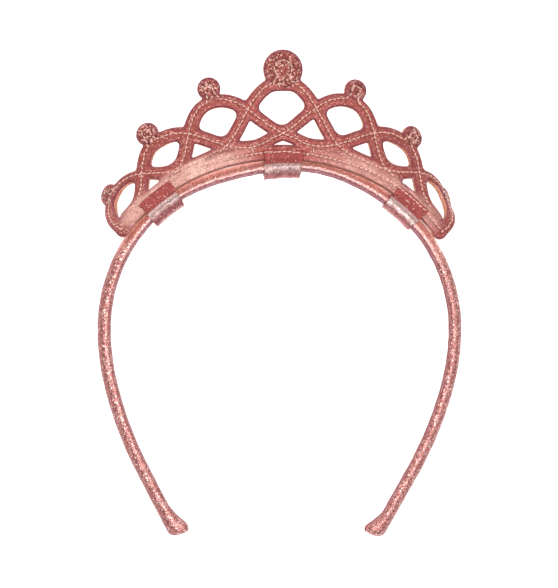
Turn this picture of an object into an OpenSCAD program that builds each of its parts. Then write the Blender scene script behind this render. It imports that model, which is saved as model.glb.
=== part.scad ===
// Child's glitter tiara: a pierced, padded crown panel held on a narrow wrapped alice band
// by three fabric loops. Millimetres. It lies face up: +Y is the crown, +Z is the front face.

/* [Band] */
// Half the width of the band across its widest part, to the middle of its section
band_half_width = 62; // [56:0.1:68]
// Height of the band's crown above its widest part, to the middle of its section
band_rise = 57.3; // [52:0.1:62]
// Extra fullness of the band at its two shoulders
band_shoulder = 0.45; // [0:0.05:1]
// Thickness of the wrapped band, seen from the front
band_thick = 4.6; // [3.4:0.1:5]
// Depth of the wrapped band, front to back
band_depth = 5.6; // [4.6:0.1:6.4]
// Radius of the first, tighter curve of each leg
leg_radius = 78; // [70:1:90]
// Radius of the second, flatter curve of each leg
leg_radius_low = 130; // [110:1:160]
// Angle through which each leg turns inward
leg_turn = 28.6; // [24:0.2:32]
// Length of the straight end of each leg, to the tip
leg_straight = 26.9; // [24:0.2:36]
// Inward reach of the folded wrap at each tip
tip_inner = 5.5; // [3:0.1:7]
// Depth of the folded wrap at each tip
tip_depth = 6.8; // [5.6:0.1:8]

/* [Panel] */
// Distance from the middle of the band to the stitch line of the base strip
panel_offset = 5; // [4.6:0.1:6]
// Height of the panel's mid surface in front of the middle of the band
panel_front = 4.2; // [4.2:0.1:5.5]
// Thickness of the padded sheet
sheet_thick = 2.3; // [1.6:0.1:2.6]
// Width of the middle strap
strap_w = 4.5; // [3.6:0.1:4.8]
// Width of the two side straps
side_strap_w = 4.8; // [3.6:0.1:5]
// Width of the side straps where they cross in the middle
side_cross_w = 4.3; // [3.6:0.1:4.8]
// Width of the side straps at the crest next to the middle
side_crest_w = 4.3; // [3.6:0.1:4.8]
// Width of the side straps' tails at the panel's ends
side_tail_w = 3.2; // [2.8:0.1:4.8]
// Width of the base strip
base_w = 5.5; // [4.6:0.1:5.7]
// Distance along the base from the middle to the last arch
end_arch_at = 56; // [54:0.5:58]
// Distance along the base from the last arch to the stitch line of the panel's end
end_arch_w = 9; // [7:0.1:10]
// Backward lean of the sheet at the last arch, in degrees
sweep_end = 48; // [20:1:52]
// How far the sewn panel sits askew on the band, in degrees
panel_turn = 1.2; // [0:0.1:1.5]

/* [Discs] */
// Radius of the large middle disc
disc_big_r = 6.85; // [6:0.05:8]
// Radius of the small discs
disc_small_r = 3.9; // [3.4:0.05:4.6]
// Thickness of the discs
disc_thick = 2.6; // [2.4:0.1:3]

/* [Loops] */
// Width of each fabric loop along the band
loop_w = 12.4; // [9:0.5:14]
// Thickness of the loop fabric
loop_thick = 1; // [0.8:0.1:1.2]
// Slack of the loop at the band's inner edge
loop_slack = 1.05; // [0.4:0.05:1.6]
// Position of the two side loops, as an angle from the crown
loop_angle = 43.2; // [38:0.1:48]
// Position of the middle loop, as an angle from the crown
loop_mid_angle = -1; // [-3:0.1:3]

/* [Hidden] */

rose = [0.76, 0.47, 0.45];
copper = [0.70, 0.37, 0.35];
wine = [0.66, 0.30, 0.33];

// Vectors
function unit(v) = v / norm(v);
function spread(a, b, steps) = [for (i = [0:steps]) a + (b - a) * i / steps];
function ease(t) = let (c = min(1, max(0, t))) c * c * (3 - 2 * c);

// The band's middle line: half an ellipse over two legs that curve inward
function crown_out(a) = unit([sin(a) / band_half_width, cos(a) / band_rise, 0]);
function fuller(a) = abs(a) < 90 ? band_shoulder * pow(sin(2 * a), 2) : 0;
function crown_point(a) = [band_half_width * sin(a), band_rise * cos(a), 0] + fuller(a) * crown_out(a);
leg_first = 14;
function arc_in(r, from, to) = r * [cos(to) - cos(from), sin(from) - sin(to), 0];
function leg_point(b) = [band_half_width, 0, 0] + arc_in(leg_radius, 0, min(b, leg_first))
    + arc_in(leg_radius_low, leg_first, max(b, leg_first));
function end_point(t) = leg_point(leg_turn) + t * [-sin(leg_turn), -cos(leg_turn), 0];

// A station is [middle, outward direction, inner half, outer half, half depth, fullness].
band_sides = 14;
tip_length = 12.4;
tip_from = leg_straight - tip_length;
tip_round = 3.6;
function tip_station(t) = let (
        grow = ease((t - tip_from - 1.4) / 6.6),
        left = max(0, (t - leg_straight + tip_round) / tip_round)
    ) [
        end_point(t),
        [cos(leg_turn), -sin(leg_turn), 0],
        band_thick / 2 + (tip_inner - band_thick / 2) * grow,
        band_thick / 2 - 0.1 * grow,
        (band_depth + (tip_depth - band_depth) * grow) / 2,
        sqrt(1 - min(0.96, left * left))
    ];
function plain_station(p, out) = [p, out, band_thick / 2, band_thick / 2, band_depth / 2, 1];
function half_band() = concat(
    [for (a = [5:5:90]) plain_station(crown_point(a), crown_out(a))],
    [for (b = spread(0, leg_turn, 6)) if (b > 0) plain_station(leg_point(b), [cos(b), -sin(b), 0])],
    [for (t = [6, tip_from]) plain_station(end_point(t), [cos(leg_turn), -sin(leg_turn), 0])],
    [for (i = [1:9]) tip_station(leg_straight - tip_length * pow(1 - i / 9, 1.5))]
);
function across(st, i) = let (
        ang = 360 * i / band_sides,
        shift = (st[3] - st[2]) / 2,
        half = (st[3] + st[2]) / 2
    ) st[0] + st[1] * (shift + half * st[5] * cos(ang)) + [0, 0, st[4] * st[5] * sin(ang)];
function mirrored(st) = concat(
    [[-st[0].x, st[0].y, 0], [-st[1].x, st[1].y, 0]],
    [for (i = [2:5]) st[i]]
);
right_half = half_band();
band_stations = concat(
    [for (i = [len(right_half) - 1:-1:0]) mirrored(right_half[i])],
    [plain_station(crown_point(0), [0, 1, 0])],
    right_half
);
band_points = [for (st = band_stations) for (i = [0:band_sides - 1]) across(st, i)];

// Faces of a tube whose rings hold n points each, closed by a flat face at each end
function ring_faces(rings, n) = concat(
    [[for (i = [0:n - 1]) i]],
    [for (k = [0:rings - 2]) for (i = [0:n - 1])
        [k * n + i, (k + 1) * n + i, (k + 1) * n + (i + 1) % n, k * n + (i + 1) % n]],
    [[for (i = [n - 1:-1:0]) (rings - 1) * n + i]]
);

// The sheet: s runs along the base line, v up the sheet, both in millimetres
arc_step = 2;
function base_step(i) = norm(base_flat((i + 1) * arc_step) - base_flat(i * arc_step));
function base_flat(a) = crown_point(a) + panel_offset * crown_out(a);
arc_table = [for (i = 0, run = 0; i <= 56; run = run + base_step(i), i = i + 1) [run, i * arc_step]];
angle_table = [for (e = arc_table) [e[1], e[0]]];
function angle_at(s) = sign(s) * lookup(abs(s), arc_table);
function run_at(a) = sign(a) * lookup(abs(a), angle_table);

// Backward lean: none at the middle, sweep_end at the last arch
sweep_power = 2.2;
sweep_at = 58;
function lean(s) = sweep_end * pow(min(61, abs(s)) / sweep_at, sweep_power);
function mid_sheet(s, v) = let (a = angle_at(s), f = lean(s))
    base_flat(a) + [0, 0, panel_front] + v * (cos(f) * crown_out(a) - [0, 0, sin(f)]);
function sheet_normal(s, v) = unit(cross(
    mid_sheet(s + 0.5, v) - mid_sheet(s - 0.5, v),
    mid_sheet(s, v + 0.5) - mid_sheet(s, v - 0.5)
));

// The arches: [distance along the base, crest height, inner width, outer width,
// inner squareness, outer squareness]
arch_0 = [0, 23.9, 13, 13, 2.3, 2.3];
arch_1 = [18.5, 20.6, 14.8, 11.8, 2.2, 2.6];
arch_2 = [37.3, 15.8, 15.4, 10.8, 2.5, 2.5];
arch_3 = [end_arch_at, 13.8, 12.8, 12.8, 2.5, 2.5];
trough = 2;
end_drop = -1;
function rise(x, arch) = let (k = x < 0 ? 0 : 1)
    (arch[1] - trough) * exp(-pow(abs(x) / arch[2 + k], arch[4 + k]));

// Steps along a strap: long where it runs straight, short where it bends
straight_step = 4;
bend_gain = 7;
function stride(height, s) = let (
        slope = height(s + 0.5) - height(s - 0.5),
        steep = sqrt(1 + slope * slope),
        bend = 4 * abs(height(s + 0.5) - 2 * height(s) + height(s - 0.5)) / pow(steep, 3)
    ) straight_step / (1 + bend_gain * bend) / steep;
function walk(height, s, last) = s > last - 0.8 ? [[last, height(last)]]
    : concat([[s, height(s)]], walk(height, s + stride(height, s), last));

// The middle strap crests at arch 0 and at both last arches, then turns down to the ends.
middle_height = function(s) trough + rise(-abs(s), arch_0) + rise(abs(s) - end_arch_at, arch_3);
end_at = end_arch_at + end_arch_w;
function middle_half() = concat(
    walk(middle_height, 0, end_arch_at),
    [for (g = [75:-12.5:0]) [end_arch_at + end_arch_w * cos(g), arch_3[1] * sin(g)]],
    [[end_at, end_drop]]
);
// Each side strap crests at arch 1 on one side and at arch 2 on the other. Past the middle it runs on
// almost straight, which leaves a slit between the crossing and the base strip.
crossing_lift = 0.8;
side_height = function(s) trough + rise(-s - arch_1[0], arch_1) + rise(s - arch_2[0], arch_2)
    + crossing_lift * exp(-pow((s - 3.6) / 3.2, 2));
side_path = walk(side_height, -40, 61);
side_width = function(s) side_strap_w
    - (side_strap_w - side_cross_w) * exp(-pow(s / 8, 2))
    - (side_strap_w - side_crest_w) * exp(-pow((s + arch_1[0]) / 6, 2))
    - (side_strap_w - side_tail_w) * ease((s - 50) / 6);
base_line = [for (s = spread(-64.6, 64.6, 34)) [s, -0.6]];

// Cross-section of a strap: crowned on both faces, soft at the edges
function strap_profile(w, t) = [
    [w / 2, -0.2 * t], [w / 2, 0.2 * t], [0.3 * w, 0.41 * t], [0, t / 2], [-0.3 * w, 0.41 * t],
    [-w / 2, 0.2 * t], [-w / 2, -0.2 * t], [-0.3 * w, -0.41 * t], [0, -t / 2], [0.3 * w, -0.41 * t]
];
function station(path, i, w, t) = let (
        here = mid_sheet(path[i].x, path[i].y),
        last = len(path) - 1,
        before = path[max(0, i - 1)],
        after = path[min(last, i + 1)],
        along = mid_sheet(after.x, after.y) - mid_sheet(before.x, before.y),
        up = sheet_normal(path[i].x, path[i].y),
        side = unit(cross(up, along))
    ) [for (q = strap_profile(w, t)) here + q.x * side + q.y * up];
function disc_points(at, r, t) = let (
        mid = mid_sheet(at.x, at.y),
        up = sheet_normal(at.x, at.y),
        right = unit(cross(mid_sheet(at.x, at.y + 1) - mid, up)),
        top = cross(up, right),
        n = r > 5 ? 32 : 22
    ) [for (q = [[r - 0.6, -t / 2], [r, -0.2 * t], [r, 0.2 * t], [r - 0.6, t / 2]])
        for (i = [0:n - 1])
            mid + q[0] * (cos(360 * i / n) * right + sin(360 * i / n) * top) + q[1] * up];
disc_0 = [0, 28.3];
disc_1 = [19.4, 24.8];
disc_2 = [39, 19.6];
disc_3 = [58.4, 15];

// The loops: outlines across the band, [outward, forward]
loop_gap = 0.18;
ring_mid = -loop_slack / 2 + 0.1;
ring_r = band_thick / 2 + loop_gap + (loop_slack - 0.1) / 2;
ring_z = band_depth / 2 + loop_gap;
ring_steps = 24;
function ring_angles() = concat(spread(42, 365, ring_steps - 1), [377, 390]);
function tail_point(a, n) = let (f = lean(run_at(a)), v = 1.7) [
    panel_offset + v * cos(f) - n * sin(f),
    panel_front - v * sin(f) - n * cos(f)
];
function loop_outer(a) = concat(
    [for (g = spread(42, 365, ring_steps - 1))
        [ring_mid + (ring_r + loop_thick) * cos(g), (ring_z + loop_thick) * sin(g)]],
    [tail_point(a, sheet_thick / 2 + 0.25 + loop_thick), tail_point(a, sheet_thick / 2 + 0.25)]
);
function loop_inner() = [for (g = ring_angles()) [ring_mid + ring_r * cos(g), ring_z * sin(g)]];
function loop_place(a, b, q) = crown_point(b) + q.x * crown_out(a) + [0, 0, q.y];
loop_n = ring_steps + 2;
loop_half_angle = loop_w / 2 / ((band_half_width + band_rise) / 2) * 180 / PI;
function loop_points(a) = [for (b = spread(a - loop_half_angle, a + loop_half_angle, 4))
    each concat(
        [for (q = loop_outer(b)) loop_place(a, b, q)],
        [for (q = loop_inner()) loop_place(a, b, q)]
    )];
function loop_faces(rings) = let (n = loop_n, m = 2 * loop_n, e = (rings - 1) * m) concat(
    [for (i = [0:n - 1]) [i, (i + 1) % n, n + (i + 1) % n, n + i]],
    [for (k = [0:rings - 2]) for (i = [0:n - 1]) let (j = (i + 1) % n, b = k * m)
        [b + i, b + m + i, b + m + j, b + j]],
    [for (k = [0:rings - 2]) for (i = [0:n - 1]) let (j = (i + 1) % n, b = k * m + n)
        [b + j, b + m + j, b + m + i, b + i]],
    [for (i = [0:n - 1]) [e + n + i, e + n + (i + 1) % n, e + (i + 1) % n, e + i]]
);

// How it lies: on the two tips and on the two last discs
end_disc = disc_points(disc_3, disc_small_r, disc_thick);
top_disc = disc_points(disc_0, disc_big_r, disc_thick);
function tipped(p, t) = [p.x, p.y * cos(t) - p.z * sin(t), p.y * sin(t) + p.z * cos(t)];
function turned(p) = [
    p.x * cos(panel_turn) - p.y * sin(panel_turn),
    p.x * sin(panel_turn) + p.y * cos(panel_turn),
    p.z
];
end_rims = concat([for (p = end_disc) turned(p)], [for (p = end_disc) turned([-p.x, p.y, p.z])]);
function lowest(points, t) = min([for (p = points) tipped(p, t).z]);
function settle(t, n) = n == 0 ? t
    : settle(t + (lowest(band_points, t) - lowest(end_rims, t)) / 2, n - 1);
tilt = settle(4, 5);
floor_z = lowest(band_points, tilt);
back_y = max([for (p = top_disc) tipped(turned(p), tilt).y]);
front_y = min([for (p = band_points) tipped(p, tilt).y]);

module seat() {
    translate([0, -(back_y + front_y) / 2, -floor_z]) rotate([tilt, 0, 0]) children();
}

module around(points) {
    hull() polyhedron(points = points, faces = [[for (i = [0:len(points) - 1]) i]]);
}

module strap(path, width, t) {
    for (i = [0:len(path) - 2]) around(concat(
        station(path, i, width(path[i].x), t),
        station(path, i + 1, width(path[i + 1].x), t)
    ));
}

module both_sides() {
    children();
    mirror([1, 0, 0]) children();
}

module band() {
    color(rose) seat()
        polyhedron(points = band_points, faces = ring_faces(len(band_stations), band_sides));
}

module panel() {
    color(copper) seat() rotate([0, 0, panel_turn]) {
        strap(base_line, function(s) base_w, sheet_thick);
        both_sides() {
            strap(middle_half(), function(s) strap_w, sheet_thick);
            strap(side_path, side_width, sheet_thick);
            around(disc_points([end_at, end_drop], strap_w / 2, sheet_thick));
            around(disc_points(disc_1, disc_small_r, disc_thick));
            around(disc_points(disc_2, disc_small_r, disc_thick));
            around(end_disc);
        }
        around(top_disc);
    }
}

module loop(a) {
    color(wine) seat() polyhedron(points = loop_points(a), faces = loop_faces(5), convexity = 4);
}
module loop_left() {
    loop(-loop_angle);
}
module loop_centre() {
    loop(loop_mid_angle);
}
module loop_right() {
    loop(loop_angle);
}

band();
panel();
loop_left();
loop_centre();
loop_right();
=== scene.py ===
import math

import bmesh
import bpy
import numpy as np
from bpy.props import FloatProperty, FloatVectorProperty, PointerProperty
from bpy.types import Operator, Panel, PropertyGroup
from mathutils import Matrix, Vector


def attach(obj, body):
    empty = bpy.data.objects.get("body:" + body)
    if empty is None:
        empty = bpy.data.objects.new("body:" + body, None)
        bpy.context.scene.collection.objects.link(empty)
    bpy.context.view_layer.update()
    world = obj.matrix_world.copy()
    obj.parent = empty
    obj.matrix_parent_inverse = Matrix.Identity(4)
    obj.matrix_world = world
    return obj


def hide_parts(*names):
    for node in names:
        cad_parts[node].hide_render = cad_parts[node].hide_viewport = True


bl_info = {
    "name": "Glitter Tiara Builder",
    "version": (1, 0, 0),
    "blender": (4, 5, 0),
    "location": "View3D > Sidebar > Tiara",
    "description": "Dresses a child's glitter tiara: padded crown panel, stitching, wrapped band and loops",
    "category": "Object",
}

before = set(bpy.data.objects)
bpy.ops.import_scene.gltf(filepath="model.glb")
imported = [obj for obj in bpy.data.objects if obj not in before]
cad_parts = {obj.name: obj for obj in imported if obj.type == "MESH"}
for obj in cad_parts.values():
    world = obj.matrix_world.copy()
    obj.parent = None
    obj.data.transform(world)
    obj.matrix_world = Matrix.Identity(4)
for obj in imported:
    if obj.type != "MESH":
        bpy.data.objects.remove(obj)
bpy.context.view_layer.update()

MM = 0.001

# How the tiara lies on the table, in the band's own frame: +Y up the crown, +Z out of the front
REST_TILT = math.radians(3.569)
REST_DROP = 7.645
REST_BACK = 12.088

# Arches of the flat cutting pattern, in mm:
# place along the base, crest height, inner width, outer width, inner and outer squareness
ARCHES = (
    (0.0, 23.9, 13.0, 13.0, 2.3, 2.3),
    (18.5, 20.6, 14.8, 11.8, 2.2, 2.6),
    (37.3, 15.8, 15.4, 10.8, 2.5, 2.5),
    (56.0, 13.8, 12.8, 12.8, 2.5, 2.5),
)
TROUGH = 2.0
# Each side strap runs on almost straight past the middle: how far it is lifted there, where and how widely
CROSSING = (0.8, 3.6, 3.2)
BASE_V = -0.6
END_DROP = -1.0
# How the straps melt together, in mm: extra width and corner rounding inside the eyes between two straps,
# rounding of the small triangles below them, how it grows past a place along the base and how small it is at
# the middle slit, and rounding along the outside
EYE_WIDEN, EYE_ROUND = 0.1, 2.6
TRIANGLE_ROUND, CORNER_GROW, CORNER_FROM, SLIT_ROUND = 0.9, 0.05, 18, 0.25
OUTSIDE_ROUND = 1.2
# Discs of the pattern, in mm: place along the base, height, radius (0 small, 1 large)
DISCS = ((0.0, 28.3, 1), (19.4, 24.8, 0), (39.0, 19.6, 0), (58.4, 15.0, 0))
# Lines of the pattern, in mm: their step, the ends of a side strap and of the base strip, half the widths
# over which the side straps narrow at the crossing and at the crest, and how much the base strip is cut back
LINE_STEP = 0.8
SIDE_ENDS = (-40, 61.1)
BASE_END = 64.6
CROSS_WIDE, CREST_WIDE = 8, 6
BASE_CUT = 0.25
# Stitch lines, in mm: how far outward of the straps' middle they run, and the heights over which that grows,
# radius and neck of the ring on a large and a small disc, how far before the neck a line leaves its strap,
# the side lines' end, the ends, height, bow and bow's pace of the base line, and the ends of a bar tack
STITCH_OUT, MIDDLE_TALL, SIDE_TALL = 0.5, 22, 17
RING_BIG, RING_SMALL, RING_CLEAR = (3.1, 1.9), (1.5, 1.05), 0.7
SIDE_STITCH_END = 57
BASE_STITCH, BASE_STITCH_V, BASE_BOW, BASE_BOW_PACE = (-27.0, 64.4), -0.5, 0.25, 0.09
TACK = (-0.3, 2.0)
# The grid that the sheet is cut from, in mm, and how its rim is drawn onto the outline: rows of verts that
# are smoothed with it, rounds, pulls in each round, the step in which a slope is felt, and limits of a pull
GRID_LOW, GRID_HIGH = np.array([-71.0, 20.0]), np.array([71.0, 99.0])
RIM_ROWS, RIM_ROUNDS, RIM_PULLS = 2, 4, 2
PROBE, LEAST_SLOPE, MOST_STEP = 0.02, 0.2, 0.3
# Relief, in mm: how far in from the edge the padding is full where straps join, on a strap and on a disc,
# half widths of a groove, of the puckers beside it and of a crease, and the depth of a crease
JOINED_RISE, STRAP_RISE, DISC_RISE = 1.5, 1.3, 1.9
GROOVE_WIDE, PUCKER_WIDE, CREASE_WIDE = 0.42, 1.1, 0.22
CREASE_DEEP = 0.75
# Shares: a groove's beat with the stitches, its puckers, the padding behind against that in front, the
# painted sheen on the right half, and how far a groove and a crease take the padding's mask down, deepening
# its painted shade
BEAT, PUCKER, BEHIND, PAINTED_SHEEN_RIGHT, GROOVE_MASK, CREASE_MASK = 0.2, 0.16, 0.8, 0.66, 0.5, 0.9
# How far a stitch or a crease is felt, and the margin of a disc's mask, in mm
FELT, DISC_MARGIN = 3.0, 0.6
# Fades in mm: each is 0 at its first number, and 1 after as much more as its second number says. They run
# along the base or, for the low ones, up from it. crown runs along the band, and slack along a loop.
FADES = {
    "left_half": (2, -10),
    "left_end": (-62, 8),
    "right_curl": (31, 24),
    "shoulder": (42, 4),
    "shoulder_end": (60, -4),
    "tail": (50, 6),
    "eyes_end": (60, -6),
    "corner_low": (6.5, -3),
    "corner_end": (54, -4),
    "slit": (9, -3),
    "slit_low": (6, -2),
    "last_gap": (43, 3),
    "last_gap_end": (54, -3),
    "base_cut": (9, -4),
    # Where the base strip's painted sheen lies
    "rub": (7, 18),
    "rub_low": (4.0, -3.0),
    "rub_end": (66, -6),
    # Painted shadow along the sheet's lower edge
    "seat_low": (-2.75, -0.5),
    "seat_end": (62, -4),
    "crown": (72, -12),
    "slack": (7.2, 2.5),
    "slack_end": (13.5, -3.0),
}


# Settings


def length(name, about, default):
    """A length, in metres."""
    return FloatProperty(name=name, description=about, default=default, unit="LENGTH")


def angle(name, about, degrees):
    return FloatProperty(name=name, description=about, default=math.radians(degrees), unit="ROTATION")


def amount(name, about, default):
    return FloatProperty(name=name, description=about, default=default)


def colour(name, about, default):
    return FloatVectorProperty(name=name, description=about, default=default, subtype="COLOR", max=2.0)


class BandSizes(PropertyGroup):
    half_width: length("Half width", "Half the band's width across its widest part", 0.062)
    rise: length("Rise", "Height of the crown above the widest part", 0.0573)
    shoulder: length("Shoulder", "Extra fullness at the two shoulders", 0.00045)
    bend: length("Bend", "How far the crown is bent out of its true curve", 0.0012)
    bend_at: angle("Bend place", "Where the bend turns over, left of the crown", 4)
    thick: length("Thickness", "Thickness of the wrapped band seen from the front", 0.0046)
    depth: length("Depth", "Depth of the wrapped band, front to back", 0.0056)
    leg_radius: length("Leg curve", "Radius of the first curve of each leg", 0.078)
    leg_radius_low: length("Lower leg curve", "Radius of the second curve of each leg", 0.130)
    leg_first: angle("First turn", "Turn of the first curve", 14)
    leg_turn: angle("Whole turn", "Angle through which each leg turns inward", 28.6)
    leg_straight: length("Straight end", "Length of the straight end of each leg", 0.0269)
    tip_length: length("Left tip", "Length over which the folded wrap swells at the left tip", 0.0115)
    tip_length_right: length("Right tip", "The same at the right tip", 0.009)
    short_right: length("Right leg", "How much shorter the right leg is wrapped", 0.0007)
    tip_full: length("Full tip", "From the fullest part of each tip to its end", 0.0018)
    tip_inner: length("Tip swell", "Inward reach of the folded wrap at each tip", 0.0052)
    tip_depth: length("Tip depth", "Depth of the folded wrap at each tip", 0.0068)
    tip_round: length("Tip rounding", "Length over which the tip closes", 0.0038)


class PanelSizes(PropertyGroup):
    offset: length("Base line", "From the middle of the band to the stitch line of the base strip", 0.005)
    front: length("Stand-off", "Mid surface of the panel in front of the middle of the band", 0.0042)
    thick: length("Padding", "Thickness of the padded sheet", 0.0023)
    edge: length("Cut edge", "Thickness of the sheet at its cut edge", 0.0014)
    strap: length("Middle strap", "Width of the middle strap", 0.0045)
    end_strap: length("End arches", "Width of the middle strap on the shoulders of the end arches", 0.0035)
    side_strap: length("Side straps", "Width of the two side straps", 0.0048)
    side_cross: length(
        "Side straps at the crossing", "Width of the side straps where they cross in the middle", 0.0041
    )
    side_crest: length(
        "Side straps at the crest", "Width of the side straps at the crest next to the middle", 0.0043
    )
    side_tail: length("Side straps' tails", "Width of the side straps at the panel's ends", 0.0032)
    drift: length("Drift", "How far the left half's straps are cut low", 0.0007)
    base: length("Base strip", "Width of the base strip", 0.0055)
    end_width: length("End arch", "From the last arch to the stitch line of the panel's end", 0.009)
    lean: angle("Lean", "Backward lean of the sheet at the last arch", 48)
    turn: angle("Askew", "How far the sewn panel sits askew on the band", 1.2)
    disc_big: length("Large disc", "Radius of the large middle disc", 0.00685)
    disc_small: length("Small disc", "Radius of the small discs", 0.0039)
    disc_thick: length("Disc padding", "Thickness of the discs", 0.0026)
    cell: length("Mesh cell", "Size of a cell of the sheet's mesh", 0.0003)


class StitchSizes(PropertyGroup):
    pitch: length("Pitch", "Length of one stitch and its gap", 0.00165)
    thread: length("Thread", "Width of the laid thread", 0.0005)
    groove: length("Groove", "Depth to which the stitching pulls the padding in", 0.00042)
    tack_at: length("Bar tacks", "Distance of the two bar tacks from the middle", 0.0106)


class LoopSizes(PropertyGroup):
    width: length("Width", "Width of each fabric loop along the band", 0.0124)
    cloth: length("Cloth", "Thickness of the loop fabric", 0.0008)
    side_angle: angle("Side loops", "Place of the side loops, as an angle from the crown", 43.2)
    right_back: angle("Right loop", "How much nearer the crown the right loop sits", 1)
    mid_angle: angle("Middle loop", "Place of the middle loop", -1.0)


class Finish(PropertyGroup):
    copper: colour("Glitter sheet", "Main colour of the glitter sheet", (0.33, 0.072, 0.055))
    bright: colour("Bright flakes", "Colour of the brightest flakes", (0.88, 0.56, 0.48))
    # Pale flakes, also used for the painted highlight on the loops' crest
    glint: colour("Glints", "Colour of the palest flakes of the wrap and the loops", (0.95, 0.82, 0.78))
    dark: colour("Dark flakes", "Colour of the darkest flakes", (0.10, 0.018, 0.022))
    # Painted shade and cool reflection along the rounded edges of the straps and discs
    rim: colour("Strap edge", "Tint along the rounded edges of the straps", (0.24, 0.045, 0.075))
    # Painted sheen: the light pink where the base strip leans back toward the side lights
    rubbed: colour("Rubbed", "Colour of the base strip where its glitter is rubbed", (0.98, 0.58, 0.50))
    # Painted reflection of the panel on the crown's outer side
    tan: colour("Outer side", "Tint of the wrap on the crown's outer side", (1.65, 1.82, 1.6))
    # Painted shade on the crown's inner side
    mauve: colour("Inner side", "Tint of the wrap on the crown's inner side", (0.72, 0.46, 0.64))
    rose: colour("Wrap", "Main colour of the band's wrap", (0.40, 0.135, 0.128))
    # Painted shade along the lap on the wrap's inner side, where the underside turns away
    seam: colour("Seam", "Colour along the seam of the wrap", (0.22, 0.03, 0.045))
    # Painted shade: dark red where a loop dips from the sheet down to the band
    fold: colour("Loop patch", "Colour of a loop where it lies on the sheet", (0.33, 0.05, 0.045))
    # Painted shade where a loop turns under the band and hangs slack
    slack: colour(
        "Loop slack", "Colour of a loop where it hangs slack below the band", (0.36, 0.085, 0.092)
    )
    # Painted shadow along the sheet's lower edge, in the gap where it meets the band
    seat: colour(
        "Seat line", "Dirt along the sheet's lower edge, where it is sewn to the band", (0.22, 0.085, 0.035)
    )
    cut_edge: colour("Cut edge", "Colour of the sheet's cut edge", (0.50, 0.20, 0.12))
    thread: colour("Thread", "Colour of the sewing thread", (0.84, 0.50, 0.43))
    flake: length("Flake", "Size of the glitter flakes", 0.00052)


class StageSettings(PropertyGroup):
    floor: colour("Floor", "Colour of the floor", (0.88, 0.88, 0.88))
    glow: amount("Floor glow", "How brightly the light table glows", 0.72)
    distance: length("Camera distance", "From the camera to the middle of the band", 0.9)
    side: angle("Camera side", "Angle of the camera to the left of the front", 7)
    roll: angle("Camera roll", "Turn of the camera about its own line", -1.3)
    pixel: amount("Scale", "Millimetres of the object for one picture point", 0.3507)
    world: amount("Room light", "Brightness of the pale room", 0.2)
    key: amount("Key light", "Power of the long light overhead", 13.0)
    left: amount("Left light", "Power of the soft light at the upper left", 7.0)
    right: amount("Right light", "Power of the soft light at the upper right", 3.5)


GROUPS = (
    ("tiara_band", BandSizes),
    ("tiara_panel", PanelSizes),
    ("tiara_stitch", StitchSizes),
    ("tiara_loops", LoopSizes),
    ("tiara_finish", Finish),
    ("tiara_stage", StageSettings),
)


def sizes(name):
    """The float settings of one group in millimetres, angles in radians."""
    group = getattr(bpy.context.scene, name)
    out = {}
    for key in group.__annotations__:
        value = getattr(group, key)
        prop = group.bl_rna.properties[key]
        out[key] = value / MM if prop.unit == "LENGTH" else value
    return out


# The band's line and the sheet


def ease(t):
    c = np.clip(t, 0, 1)
    return c * c * (3 - 2 * c)


def fade(name, place):
    start, over = FADES[name]
    return ease((place - start) / over)


def crown_out(b, a):
    """Outward direction of the band's line at angle a, as an (n, 2) array."""
    out = np.stack([np.sin(a) / b["half_width"], np.cos(a) / b["rise"]], -1)
    return out / np.linalg.norm(out, axis=-1, keepdims=True)


def crown_point(b, a):
    """Middle of the band at angle a, as an (n, 2) array."""
    full = np.where(np.abs(a) < math.pi / 2, b["shoulder"] * np.sin(2 * a) ** 2, 0.0)
    line = np.stack([b["half_width"] * np.sin(a), b["rise"] * np.cos(a)], -1)
    return line + full[..., None] * crown_out(b, a)


def band_point(b, a):
    """Middle of the real band at angle a, whose crown is bent a little by hand."""
    at = np.clip(a + b["bend_at"], -math.pi / 4, math.pi / 4)
    bend = b["bend"] * np.sin(4 * at) * np.cos(2 * at) ** 2
    return crown_point(b, a) + bend[..., None] * crown_out(b, a)


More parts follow.
